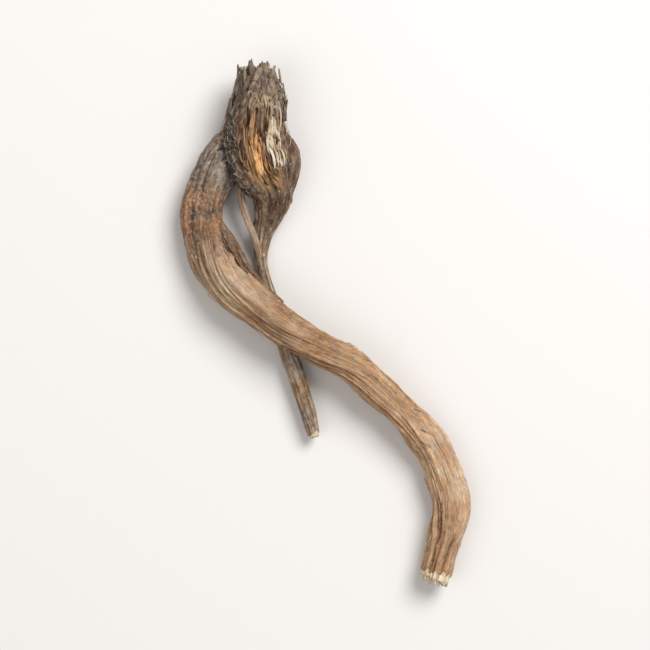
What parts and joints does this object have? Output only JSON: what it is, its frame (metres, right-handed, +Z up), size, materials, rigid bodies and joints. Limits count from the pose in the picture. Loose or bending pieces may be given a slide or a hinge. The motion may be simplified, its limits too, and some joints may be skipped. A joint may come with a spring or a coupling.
{
  "type": "dried dandelion root",
  "caption": "Long curved dried dandelion taproot with a torn crown, dry leaf stalk stubs and a thin side root, lying on its side.",
  "frame": {"origin": "middle of the root as seen from above, on the surface it lies on", "axes": "+Z up from the surface, +Y along the root from its snapped lower end towards its crown, +X to the right when the crown points away"},
  "size_m": [0.0698, 0.1266, 0.0149],
  "materials": {
    "root_bark": "dry wrinkled brown bark, matt, with long ridges, and paler torn wood at both ends"
  },
  "bodies": {
    "root": {"root": "root_bark"}
  },
  "joints": []
}
